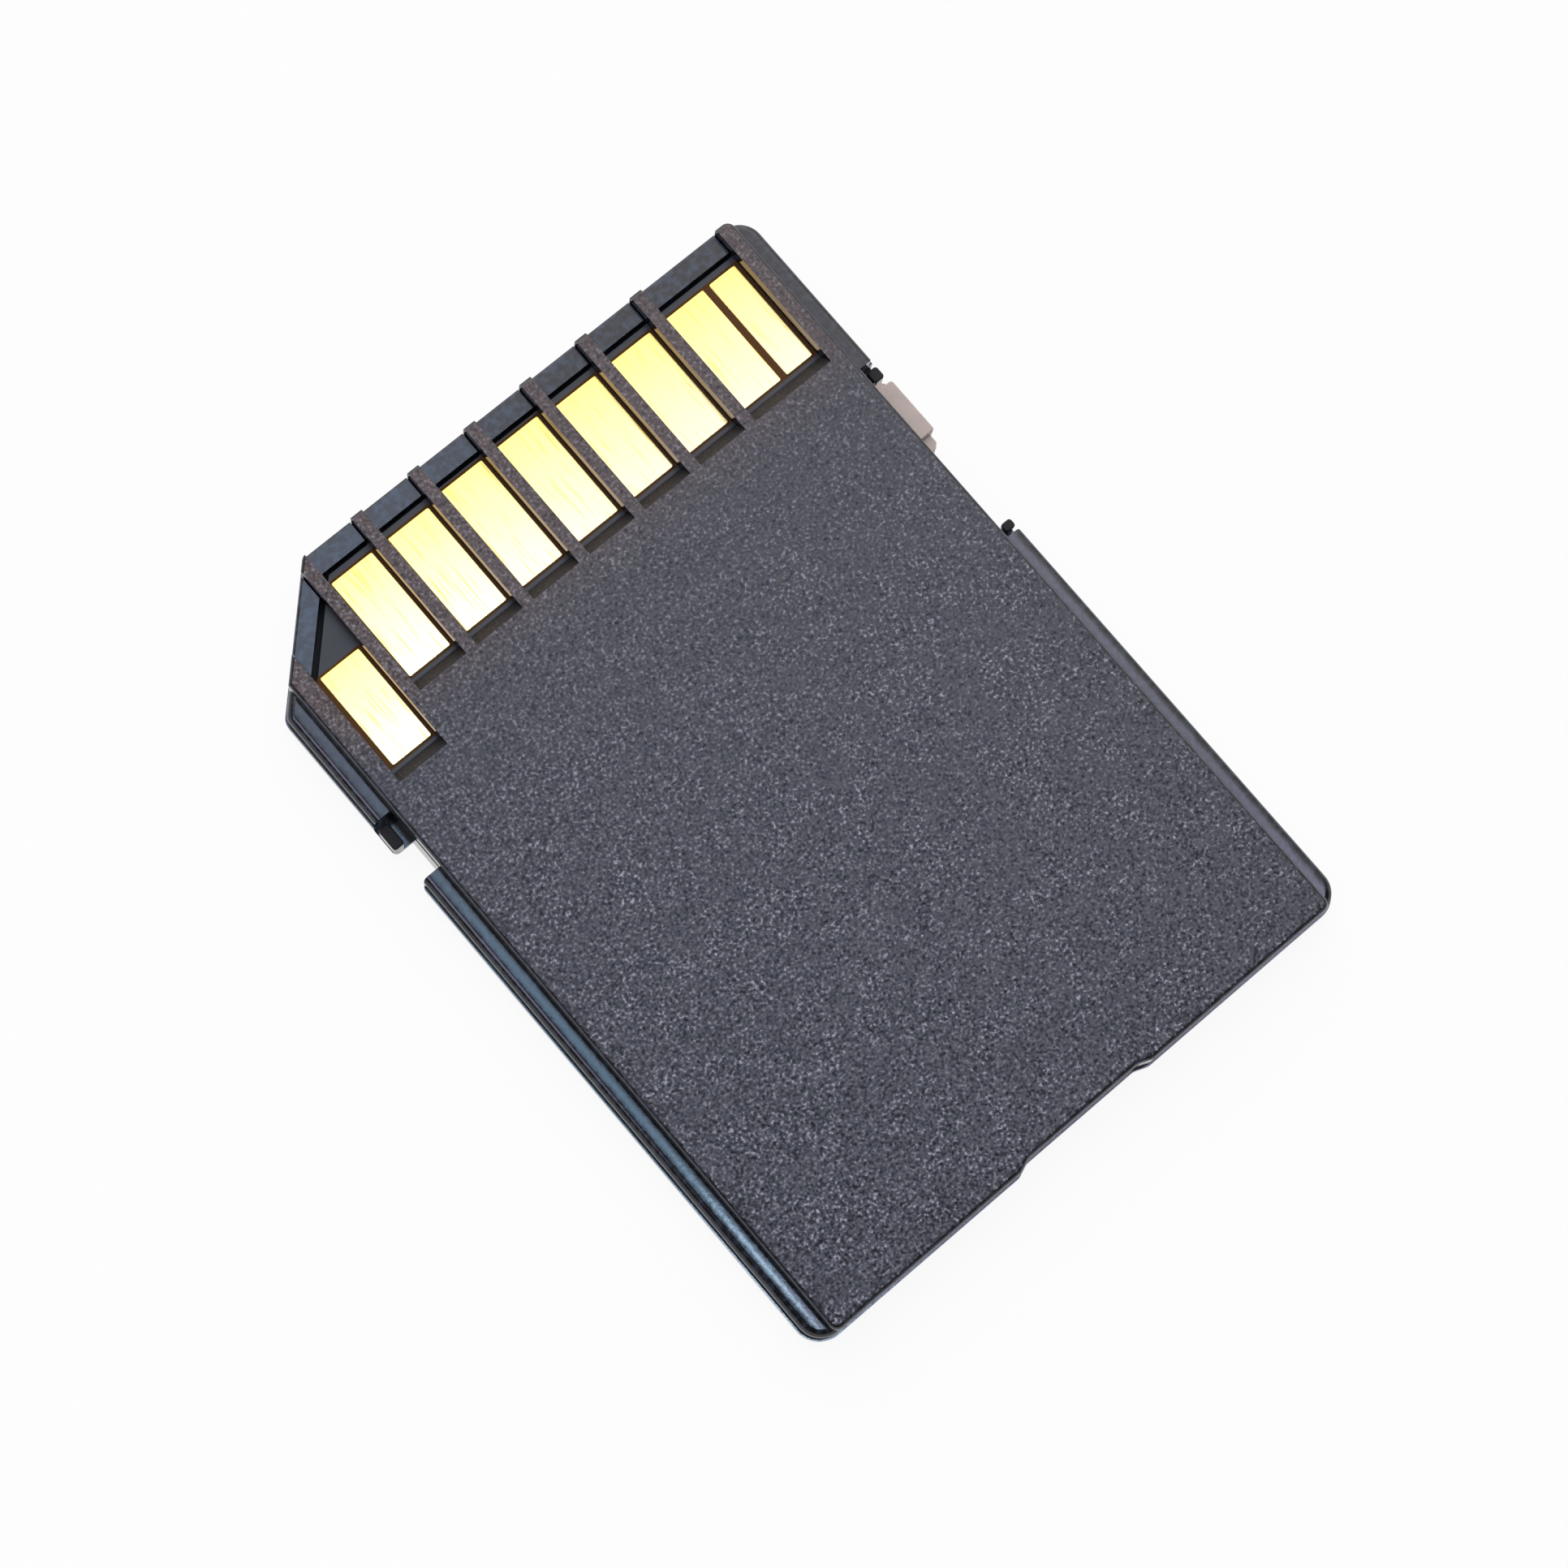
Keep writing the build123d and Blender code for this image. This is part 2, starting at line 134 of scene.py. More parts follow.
def principled(tree: Tree, inputs: Inputs) -> None:
    """Ends a material with the principled shader."""
    shader = add_node(tree, "ShaderNodeBsdfPrincipled", inputs)
    add_node(tree, "ShaderNodeOutputMaterial", {"Surface": shader.outputs["BSDF"]})


def calculate(tree: Tree, operation: str, *values: Socket | float) -> Socket:
    """Adds a sum of numbers, or a test that gives one or nought."""
    return add_node(
        tree, "ShaderNodeMath", dict(enumerate(values)), operation=operation
    ).outputs["Value"]


def combine(tree: Tree, operation: str, *vectors: Any) -> Socket:
    """Adds a sum of vectors."""
    return add_node(
        tree, "ShaderNodeVectorMath", dict(enumerate(vectors)), operation=operation
    ).outputs["Vector"]


def axes(tree: Tree, vector: Socket) -> Outputs:
    """Splits a vector into X, Y and Z."""
    return add_node(tree, "ShaderNodeSeparateXYZ", {"Vector": vector}).outputs


def within(tree: Tree, value: Socket, low: float, high: float) -> Socket:
    """Tests whether a value lies between two bounds."""
    return calculate(tree, "COMPARE", value, (low + high) / 2, (high - low) / 2)


def all_of(tree: Tree, *zones: Socket) -> Socket:
    """Joins zones into the one where all of them hold.

    Args:
        tree: The node tree that the zones are in.
        *zones: Sockets that are one inside their zone and nought elsewhere.

    Returns:
        A socket that is one where every zone is.
    """
    joined = zones[0]
    for zone in zones[1:]:
        joined = calculate(tree, "MULTIPLY", joined, zone)
    return joined


def rescale(
    tree: Tree,
    value: Socket,
    bounds: Sequence[float] = (0.0, 1.0),
    results: Sequence[Socket | float] = (0.0, 1.0),
    smooth: bool = False,
) -> Socket:
    """Turns a value between two bounds into one between two results, and keeps it there outside.

    Args:
        tree: The node tree that the node goes into.
        value: The value to turn.
        bounds: The values where the result begins and ends its change.
        results: What comes out at the two bounds.
        smooth: Whether the change begins and ends gently.

    Returns:
        The result.
    """
    inputs = {
        "Value": value,
        "From Min": bounds[0],
        "From Max": bounds[1],
        "To Min": results[0],
        "To Max": results[1],
    }
    kind = "SMOOTHSTEP" if smooth else "LINEAR"
    return add_node(tree, "ShaderNodeMapRange", inputs, interpolation_type=kind).outputs["Result"]


def mix(
    tree: Tree, share: Socket | float, first: Socket | str, second: Socket | str
) -> Socket:
    """Mixes two colours.

    Args:
        tree: The node tree that the node goes into.
        share: How much of the second colour there is.
        first: The first colour, as a socket or as hex digits.
        second: The second colour, as a socket or as hex digits.

    Returns:
        The mixed colour.
    """
    one, other = (linear(side) if isinstance(side, str) else side for side in (first, second))
    # The node has sockets of the same names for each kind of value, so the colour's go by number
    return add_node(
        tree, "ShaderNodeMix", {0: share, 6: one, 7: other}, data_type="RGBA"
    ).outputs[2]


def noise(tree: Tree, place: Socket, cell: float, detail: float = 2.0) -> Outputs:
    """Adds a noise whose cells are about this many millimetres wide."""
    inputs = {"Vector": place, "Scale": per_metre(cell), "Detail": detail}
    return add_node(tree, "ShaderNodeTexNoise", inputs).outputs


def bump(tree: Tree, height: Socket, depth: float) -> Socket:
    """Gives the normal of a relief that is this many millimetres deep."""
    inputs = {"Height": height, "Distance": depth * MM}
    return add_node(tree, "ShaderNodeBump", inputs).outputs["Normal"]


def dress(piece: bpy.types.Object, *materials: bpy.types.Material) -> None:
    """Puts materials on a piece, in the order of its slots.

    Args:
        piece: The object to dress.
        *materials: One material for each slot.
    """
    piece.data.materials.clear()
    for material in materials:
        piece.data.materials.append(material)
    LOG.info("%s: %s", piece.name, ", ".join(material.name for material in materials))


class MouldSurface(Enum):
    """What the tool steel left on the moulded plastic."""

    SPARK_FACE = "spark-eroded face, polished below it"
    POLISHED = "polished all over"


@dataclass(frozen=True)
class MouldedAbs:
    """Charcoal ABS out of an injection mould.

    A spark-eroded tool gives the face and the window ramps a fine sandy grain, with glints where a
    grain faces the light. On the grain, dark pits are painted shade and light flecks painted
    glints; these painted pits and glints fade towards the contacts, and use has rubbed the front
    end a little browner. The polished steel beside it leaves near-black rails, walls and rounded
    edges with a wavy sheen, whose bluish mottle is painted into the colour.
    """

    name: str
    surface: MouldSurface
    polished: str = "#0A0C0F"
    painted_sheen: str = "#2A3139"
    face: str = "#302F33"
    rubbed: str = "#49382F"
    # Dark pits are painted shade in the craters; light flecks are painted glints on the grain
    pit: str = "#0E0E11"
    painted_glint_fleck: str = "#A2A2AC"
    # The grain begins and is full this far below the face
    face_z: float = 2.1
    face_fade: tuple[float, float] = (0.015, 0.003)
    # Between these two places along the card the face turns from plain to rubbed
    rub: tuple[float, float] = (8.0, 11.0)
    # Between these two places the painted pits and glints get weaker, down to this share of their
    # strength
    painted_speck_fade: tuple[float, float] = (0.0, 9.0)
    painted_speck_fade_left: float = 0.45
    # Ramps lean forward by more than this and lie behind this place along the card
    ramp_lean: float = 0.5
    ramp_front: float = 12.0
    # The ramps' grain is darkened by this share towards the pit colour: painted shade in the window
    # recesses
    ramp_painted_shade: float = 0.85
    ramp_roughness: float = 0.7
    # The flat of a rail is slightly crowned: its middle and half width, and its edges' lean
    rail: tuple[float, float] = (11.46, 0.26)
    crown: float = 0.06
    # The window walls that face left: how squarely, their zone's half width and rear end, and
    # how far the mould's draft leans them back
    wall_facing: float = 0.8
    wall_zone: tuple[float, float] = (10.7, 7.0)
    wall_draft: float = 0.17
    # The board's ledge and the pegs in the notches face up by more than this between these heights
    hollow_facing: float = 0.5
    hollow_z: tuple[float, float] = (0.75, 1.1)
    # Painted shade: this near-black, rough colour stands in for the shadow on the board's ledge and
    # the pegs
    painted_hollow_shade: str = "#010101"
    hollow_roughness: float = 0.7
    # Spark craters are about 0.05 mm wide; they are drawn wider so that the render shows them
    grain: float = 0.115
    facet_tilt: float = 0.74
    # The grain's heights between which the painted pits and glints come up: dark pits are painted
    # shade in the craters, light flecks painted glints
    pit_heights: tuple[float, float] = (0.51, 0.31)
    fleck_heights: tuple[float, float] = (0.57, 0.77)
    # In some patches the grain is weaker than in others: the patch noise's range, and the weakest
    patch: float = 1.2
    patch_heights: tuple[float, float] = (0.38, 0.62)
    patch_least: float = 0.42
    # The polished plastic gets a painted bluish sheen where its waves rise through these heights
    wave: float = 0.24
    wave_depth: float = 0.003
    painted_sheen_heights: tuple[float, float] = (0.42, 0.64)
    ior: float = 1.53
    polished_roughness: float = 0.13
    face_roughness: float = 0.36

    def build(self) -> bpy.types.Material:
        """Builds the material.

        Returns:
            The finished material.
        """
        material, tree = blank_material(self.name)
        coordinates = add_node(tree, "ShaderNodeTexCoord").outputs
        waves = noise(tree, coordinates["Object"], self.wave, detail=3.0)["Fac"]
        normal = bump(tree, waves, self.wave_depth)
        # Painted sheen: a bluish grey mixed into the near-black where the waves rise
        clouds = rescale(tree, waves, self.painted_sheen_heights)
        polished = mix(tree, clouds, self.polished, self.painted_sheen)
        inputs: Inputs = {
            "Base Color": polished,
            "Roughness": self.polished_roughness,
            "Normal": normal,
            "IOR": self.ior,
        }
        if self.surface is MouldSurface.SPARK_FACE:
            inputs |= self._spark_inputs(tree, coordinates, polished, normal)
        else:
            inputs |= self._painted_hollow_shade_inputs(tree, coordinates, polished)
        principled(tree, inputs)
        return material

    def _painted_hollow_shade_inputs(self, tree: Tree, coordinates: Outputs, polished: Socket) -> Inputs:
        """Paints shade on the ledge under the board and on the pegs, which stand deep between
        walls.

        Args:
            tree: The material's node tree.
            coordinates: The outputs of the texture coordinate node.
            polished: The colour of the polished plastic, with its painted sheen.

        Returns:
            The shader's colour and roughness inputs.
        """
        low, high = (height * MM for height in self.hollow_z)
        facing = axes(tree, coordinates["Normal"])["Z"]
        # Painted shade: the ledge and the pegs, deep between walls, get the near-black colour in
        # place of their shadow
        inside = all_of(
            tree,
            calculate(tree, "GREATER_THAN", facing, self.hollow_facing),
            within(tree, axes(tree, coordinates["Object"])["Z"], low, high),
        )
        ends = (self.polished_roughness, self.hollow_roughness)
        return {
            "Base Color": mix(tree, inside, polished, self.painted_hollow_shade),
            "Roughness": rescale(tree, inside, results=ends),
        }

    def _spark_inputs(
        self, tree: Tree, coordinates: Outputs, polished: Socket, normal: Socket
    ) -> Inputs:
        """Builds the grain of the face and the ramps, which ends on the rounded edges.

        Args:
            tree: The material's node tree.
            coordinates: The outputs of the texture coordinate node.
            polished: The colour of the polished plastic, with its painted sheen.
            normal: The normal of the polished plastic.

        Returns:
            The shader's colour, roughness and normal inputs.
        """
        place = axes(tree, coordinates["Object"])
        fade = [(self.face_z - below) * MM for below in self.face_fade]
        on_face = rescale(tree, place["Z"], fade, smooth=True)
        on_ramp = self._ramp_zone(tree, coordinates, place["Y"])
        # Each crater leaves a facet of its own height and tilt
        facets = noise(tree, coordinates["Object"], self.grain, detail=1.0)
        grain_and_painted_light = self._grain_with_painted_light(tree, coordinates["Object"], place["Y"], facets["Fac"])
        faced = mix(tree, on_face, polished, grain_and_painted_light)
        # Painted shade on the ramps at the windows' rear ends
        ramp_with_painted_shade = mix(tree, self.ramp_painted_shade, grain_and_painted_light, self.pit)
        ends = (self.polished_roughness, self.face_roughness)
        face_roughness = rescale(tree, on_face, results=ends)
        textured = calculate(tree, "MAXIMUM", on_face, on_ramp)
        tilt = add_node(
            tree,
            "ShaderNodeVectorMath",
            {
                0: combine(tree, "SUBTRACT", facets["Color"], NOISE_MIDDLE),
                "Scale": calculate(tree, "MULTIPLY", textured, self.facet_tilt),
            },
            operation="SCALE",
        ).outputs["Vector"]
        crown = self._rail_crown(tree, place["X"])
        draft = self._wall_draft(tree, coordinates, place)
        for lean in (crown, draft, tilt):
            normal = combine(tree, "ADD", normal, lean)
        return {
            "Base Color": mix(tree, on_ramp, faced, ramp_with_painted_shade),
            "Roughness": rescale(tree, on_ramp, results=(face_roughness, self.ramp_roughness)),
            "Normal": combine(tree, "NORMALIZE", normal),
        }

    def _rail_crown(self, tree: Tree, across: Socket) -> Socket:
        """Leans the flats of the two rails outward on the outside and inward on the inside.

        Args:
            tree: The material's node tree.
            across: The place across the card.

        Returns:
            A vector to add to the normal.
        """
        middle, half = (size * MM for size in self.rail)
        reach = calculate(tree, "ABSOLUTE", across)
        lean = rescale(tree, reach, (middle - half, middle + half), (-self.crown, self.crown))
        on_rail = within(tree, reach, middle - half, middle + half)
        outward = all_of(tree, lean, on_rail, calculate(tree, "SIGN", across))
        return add_node(tree, "ShaderNodeCombineXYZ", {"X": outward}).outputs["Vector"]

    def _wall_draft(self, tree: Tree, coordinates: Outputs, place: Outputs) -> Socket:
        """Leans back the window walls that face left, so that they show the pads beside them.

        Args:
            tree: The material's node tree.
            coordinates: The outputs of the texture coordinate node.
            place: The place's three coordinates.

        Returns:
            A vector to add to the normal.
        """
        half, rear = (size * MM for size in self.wall_zone)
        facing = axes(tree, coordinates["Normal"])["X"]
        on_wall = all_of(
            tree,
            calculate(tree, "LESS_THAN", facing, -self.wall_facing),
            within(tree, place["X"], -half, half),
            calculate(tree, "GREATER_THAN", place["Y"], rear),
        )
        upward = calculate(tree, "MULTIPLY", on_wall, self.wall_draft)
        return add_node(tree, "ShaderNodeCombineXYZ", {"Z": upward}).outputs["Vector"]

    def _ramp_zone(self, tree: Tree, coordinates: Outputs, along: Socket) -> Socket:
        """Finds the ramps at the rear ends of the windows.

        Args:
            tree: The material's node tree.
            coordinates: The outputs of the texture coordinate node.
            along: The place along the card.

        Returns:
            A socket that is one on the ramps and nought elsewhere.
        """
        facing = axes(tree, coordinates["Normal"])["Y"]
        return all_of(
            tree,
            calculate(tree, "GREATER_THAN", facing, self.ramp_lean),
            calculate(tree, "LESS_THAN", along, self.ramp_front * MM),
        )

    def _grain_with_painted_light(self, tree: Tree, place: Socket, along: Socket, grains: Socket) -> Socket:
        """Colours the grain: low grains get dark pits, painted shade, and high ones light flecks,
        painted glints.

        Args:
            tree: The material's node tree.
            place: The place on the card.
            along: The place along the card.
            grains: The height of the grain.

        Returns:
            The colour of the spark-eroded plastic, with its painted pits and glints.
        """
        rub, painted_speck_fade = ([end * MM for end in zone] for zone in (self.rub, self.painted_speck_fade))
        colour = mix(tree, rescale(tree, along, rub, smooth=True), self.face, self.rubbed)
        patches = noise(tree, place, self.patch)["Fac"]
        most = rescale(tree, along, painted_speck_fade, (1.0, self.painted_speck_fade_left))
        strength = rescale(tree, patches, self.patch_heights, (self.patch_least, most))
        # Dark pits get painted shade and light flecks painted glints, over the grain's own colour
        for wanted, heights in (
            (self.pit, self.pit_heights),
            (self.painted_glint_fleck, self.fleck_heights),
        ):
            share = rescale(tree, grains, heights, (0.0, strength))
            colour = mix(tree, share, colour, wanted)
        return colour


@dataclass(frozen=True)
class MouldedAcetal:
    """Natural acetal, moulded and barely polished: a warm, waxy beige with a soft broad shine."""

    name: str = "moulded_acetal"
    body: str = "#C8B8A6"
    shade: str = "#B0A192"
    cloud: float = 0.7
    ripple: float = 0.25
    ripple_depth: float = 0.002
    ior: float = 1.48
    roughness: float = 0.38

    def build(self) -> bpy.types.Material:
        """Builds the material.

        Returns:
            The finished material.
        """
        material, tree = blank_material(self.name)
        place = add_node(tree, "ShaderNodeTexCoord").outputs["Object"]
        clouds = noise(tree, place, self.cloud)["Fac"]
        ripples = noise(tree, place, self.ripple)["Fac"]
        principled(
            tree,
            {
                "Base Color": mix(tree, clouds, self.shade, self.body),
                "Roughness": self.roughness,
                "IOR": self.ior,
                "Normal": bump(tree, ripples, self.ripple_depth),
            },
        )
        return material


@dataclass(frozen=True)
class SolderMask:
    """Black solder mask, screen-printed over woven glass: a dull olive black with a faint weave.

    The mask stops short of the pads and leaves the brown laminate bare round them.
    """

    name: str = "black_solder_mask"
    body: str = "#2B2D2E"
    shade: str = "#212322"
    laminate: str = "#583605"
    # Bare laminate, as left, rear, right and front edges: a field for contacts 1 to 8, a tab of it
    # in front of contacts 3 and 4, and a field for contact 9
    openings: tuple[tuple[float, float, float, float], ...] = (
        (-7.93, 10.3, 10.56, 14.74),
        (-2.88, 14.74, 1.64, 14.89),
        (-10.4, 8.27, -8.3, 12.39),
    )
    # A glass thread is about this wide; the mask blurs the weave, so each thread is drawn as one
    # radian of a wave
    thread: float = 0.4
    unevenness: float = 1.5
    weave_depth: float = 0.002
    ior: float = 1.5
    roughness: float = 0.36
    laminate_roughness: float = 0.85

    def build(self) -> bpy.types.Material:
        """Builds the material.

        Returns:
            The finished material.
        """
        material, tree = blank_material(self.name)
        place = add_node(tree, "ShaderNodeTexCoord").outputs["Object"]
        scale = per_metre(self.thread) / WAVE_RADIANS
        threads = [
            add_node(
                tree,
                "ShaderNodeTexWave",
                {"Vector": place, "Scale": scale, "Distortion": self.unevenness},
                bands_direction=direction,
            ).outputs["Fac"]
            for direction in ("X", "Y")
        ]
        weave = calculate(tree, "MULTIPLY", *threads)
        colour = mix(tree, weave, self.shade, self.body)
        roughness: Socket | float = self.roughness
        at = axes(tree, place)
        for opening in self.openings:
            left, rear, right, front = (edge * MM for edge in opening)
            inside = all_of(
                tree, within(tree, at["X"], left, right), within(tree, at["Y"], rear, front)
            )
            colour = mix(tree, inside, colour, self.laminate)
            roughness = rescale(tree, inside, results=(roughness, self.laminate_roughness))
        principled(
            tree,
            {
                "Base Color": colour,
                "Roughness": roughness,
                "IOR": self.ior,
                "Normal": bump(tree, weave, self.weave_depth),
            },
        )
        return material


@dataclass(frozen=True)
class HardGold:
    """Hard gold, plated over nickel: a bright yellow mirror, with a painted highlight that makes it
    paler towards the rear.

    Fine wipe marks run along the pad and dull it in thin streaks.
    """

    name: str = "hard_gold_plating"
    front: str = "#FFDD78"
    rear_painted_highlight: str = "#FFE9AC"
    streak: str = "#F3C765"
    # A wipe mark is a few hundredths of a millimetre wide and drawn a little wider to show
    mark_width: float = 0.08
    mark_length: float = 2.2
    mark_depth: float = 0.0015
    # The marks' heights between which a streak comes up
    streak_heights: tuple[float, float] = (0.56, 0.72)
    bright_roughness: float = 0.2
    streak_roughness: float = 0.36

    def build(self) -> bpy.types.Material:
        """Builds the material.

        Returns:
            The finished material.
        """
        material, tree = blank_material(self.name)
        coordinates = add_node(tree, "ShaderNodeTexCoord").outputs
        stretch = (per_metre(self.mark_width), per_metre(self.mark_length), 1.0)
        stretched = add_node(
            tree, "ShaderNodeMapping", {"Vector": coordinates["Object"], "Scale": stretch}
        ).outputs["Vector"]
        marks = add_node(
            tree, "ShaderNodeTexNoise", {"Vector": stretched, "Scale": 1.0, "Detail": 2.0}
        ).outputs["Fac"]
        streaks = rescale(tree, marks, self.streak_heights)
        # Painted highlight: the gold pales towards the pad's rear end
        to_front = axes(tree, coordinates["Generated"])["Y"]
        painted_highlight_gradient = mix(tree, to_front, self.rear_painted_highlight, self.front)
        ends = (self.bright_roughness, self.streak_roughness)
        principled(
            tree,
            {
                "Base Color": mix(tree, streaks, painted_highlight_gradient, self.streak),
                "Metallic": 1.0,
                "Roughness": rescale(tree, streaks, results=ends),
                "Normal": bump(tree, marks, self.mark_depth),
            },
        )
        return material


@dataclass(frozen=True)
class EtchedEdge:
    """Plated copper at an etched edge: rough and thinly covered, so it reads as a brown line."""

    name: str = "etched_copper_edge"
    thin: str = "#8F5E1C"
    bare: str = "#6B4210"
    pit: float = 0.05
    roughness: float = 0.5

    def build(self) -> bpy.types.Material:
        """Builds the material.

        Returns:
            The finished material.
        """
        material, tree = blank_material(self.name)
        place = add_node(tree, "ShaderNodeTexCoord").outputs["Object"]
        pits = noise(tree, place, self.pit)["Fac"]
        principled(
            tree,
            {
                "Base Color": mix(tree, pits, self.bare, self.thin),
                "Metallic": 1.0,
                "Roughness": self.roughness,
            },
        )
        return material


@dataclass(frozen=True)
class MouldedEpoxy:
    """Transfer-moulded epoxy compound: dull black with a very fine sandy grain."""

    name: str = "moulded_epoxy"
    body: str = "#232324"
    shade: str = "#1A1A1B"
    grain: float = 0.12
    grain_depth: float = 0.006
    roughness: float = 0.6

    def build(self) -> bpy.types.Material:
        """Builds the material.

        Returns:
            The finished material.
        """
        material, tree = blank_material(self.name)
        place = add_node(tree, "ShaderNodeTexCoord").outputs["Object"]
        grains = noise(tree, place, self.grain, detail=3.0)["Fac"]
        principled(
            tree,
            {
                "Base Color": mix(tree, grains, self.shade, self.body),
                "Roughness": self.roughness,
                "Normal": bump(tree, grains, self.grain_depth),
            },
        )
        return material


@dataclass(frozen=True)
class TinnedCeramic:
    """A fired ceramic body between two tinned caps: matt in the middle, soft silver at the ends."""

    name: str
    body: str
    shade: str
    tin: str = "#C9CACC"
    cap_share: float = 0.25
    speck: float = 0.08
    ceramic_roughness: float = 0.55
    tin_roughness: float = 0.32

    def build(self) -> bpy.types.Material:
        """Builds the material.

        Returns:
            The finished material.
        """
        material, tree = blank_material(self.name)
        coordinates = add_node(tree, "ShaderNodeTexCoord").outputs
        along = axes(tree, coordinates["Generated"])["X"]
        ceramic = within(tree, along, self.cap_share, 1 - self.cap_share)
        specks = noise(tree, coordinates["Object"], self.speck)["Fac"]
        fired = mix(tree, specks, self.shade, self.body)
        ends = (self.tin_roughness, self.ceramic_roughness)
        principled(
            tree,
            {
                "Base Color": mix(tree, ceramic, self.tin, fired),
                "Metallic": calculate(tree, "SUBTRACT", 1.0, ceramic),
                "Roughness": rescale(tree, ceramic, results=ends),
            },
        )
        return material


@dataclass(frozen=True)
class StudioPaper:
    """White background paper: matt, and lifted towards pure white in the picture and in mirrors."""

    name: str = "studio_paper"
    paper: str = "#F8F8FA"
    lift: float = 0.92

    def build(self) -> bpy.types.Material:
        """Builds the material.

        Returns:
            The finished material.
        """
        material, tree = blank_material(self.name)
        matt = add_node(tree, "ShaderNodeBsdfDiffuse", {"Color": linear(self.paper)})
        white = add_node(tree, "ShaderNodeEmission", {"Strength": 1.0})
        # Rays that show the paper to the eye, unlike those that only carry its light
        path = add_node(tree, "ShaderNodeLightPath").outputs
        seen = calculate(tree, "MAXIMUM", path["Is Camera Ray"], path["Is Glossy Ray"])
        seen = calculate(tree, "MAXIMUM", seen, path["Is Transmission Ray"])
        lifted = calculate(tree, "MULTIPLY", seen, self.lift)
        shader = add_node(
            tree, "ShaderNodeMixShader", {0: lifted, 1: matt.outputs[0], 2: white.outputs[0]}
        )
        add_node(tree, "ShaderNodeOutputMaterial", {"Surface": shader.outputs[0]})
        return material


@dataclass
class Case:
    """The two welded halves of the case."""

    back: str = "back_cover"
    front: str = "front_cover"
    spark_abs: MouldedAbs = MouldedAbs("spark_eroded_abs", MouldSurface.SPARK_FACE)
    # The front half's painted sheen is a bluer grey
    polished_abs: MouldedAbs = MouldedAbs("polished_abs", MouldSurface.POLISHED, painted_sheen="#2C3B48")

    def build(self) -> None:
        """Dresses both halves."""
        dress(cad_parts[self.back], self.spark_abs.build())
        dress(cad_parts[self.front], self.polished_abs.build())


@dataclass
class LockSlider:
    """The write-protect tab in the right edge."""

    node: str = "lock_slider"
    acetal: MouldedAcetal = MouldedAcetal()

    def build(self) -> None:
        """Dresses the tab."""
        dress(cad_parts[self.node], self.acetal.build())


@dataclass
class ContactBoard:
    """The circuit board's upper side, with its plated contact pads."""

    board: str = "circuit_board"
    body: str = "card"
    slot: str = "gold_plating"
    contacts: int = 9
    # The two supply pads reach further forward, so that they meet a reader first
    supply: tuple[int, ...] = (3, 4)
    supply_reach: float = 0.15
    corner: float = 0.08
    corner_steps: int = 4
    mask: SolderMask = SolderMask()
    gold: HardGold = HardGold()
    edge: EtchedEdge = EtchedEdge()
    edge_slot: int = 1
    # The pad's rolled edge, from its foot up: how far in, and the share of the pad's thickness
    roll: tuple[tuple[float, float], ...] = ((0.0, 0.0), (0.01, 0.55), (0.03, 0.88), (0.055, 1.0))

    def build(self) -> None:
        """Dresses the board and builds every pad on it."""
        dress(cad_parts[self.board], self.mask.build())
        gold, edge = self.gold.build(), self.edge.build()
        for number in range(1, self.contacts + 1):
            node = f"contact_{number}"
            low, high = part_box(node)
            if number in self.supply:
                high = high + Vector((0.0, self.supply_reach * MM, 0.0))
            pad = bpy.data.objects.new(f"plated_pad_{number}", self._pad(low, high))
            bpy.context.scene.collection.objects.link(pad)
            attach(pad, self.body)
            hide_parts(node)
            dress(pad, gold, edge)

    def _ring(self, low: Vector, high: Vector, inset: float) -> list[tuple[float, float]]:
        """Gives one rounded outline of a pad.

        Args:
            low: The pad's lowest corner, in metres.
            high: The pad's highest corner, in metres.
            inset: How far the outline lies inside the pad's foot.

        Returns:
            The outline's points, in metres, anticlockwise.
        """
        radius = self.corner * MM
        reach = radius - inset * MM
        corners = [(high.x, high.y), (low.x, high.y), (low.x, low.y), (high.x, low.y)]
        points = []
        for quarter, (x, y) in enumerate(corners):
            centre_x = x - radius if x == high.x else x + radius
            centre_y = y - radius if y == high.y else y + radius
            for step in range(self.corner_steps + 1):
                angle = (quarter + step / self.corner_steps) * pi / 2
                points.append((centre_x + reach * cos(angle), centre_y + reach * sin(angle)))
        return points

    def _pad(self, low: Vector, high: Vector) -> bpy.types.Mesh:
        """Builds a plated pad: a flat top with an edge that rolls down to the board.

        Args:
            low: The pad's lowest corner, in metres.
            high: The pad's highest corner, in metres.

        Returns:
            The pad's closed mesh, with its rolled edge in the edge's material slot.
        """
        mesh = bmesh.new()
        rings = []
        for inset, share in self.roll:
            height = low.z + (high.z - low.z) * share
            outline = self._ring(low, high, inset)
            rings.append([mesh.verts.new((x, y, height)) for x, y in outline])
        count = len(rings[0])
        for lower, upper in zip(rings, rings[1:]):
            for index in range(count):
                after = (index + 1) % count
                side = mesh.faces.new((lower[index], lower[after], upper[after], upper[index]))
                side.material_index = self.edge_slot
                side.smooth = True
        mesh.faces.new(rings[-1])
        mesh.faces.new(list(reversed(rings[0])))
        data = bpy.data.meshes.new("plated_pad")
        mesh.to_mesh(data)
        mesh.free()
        return data


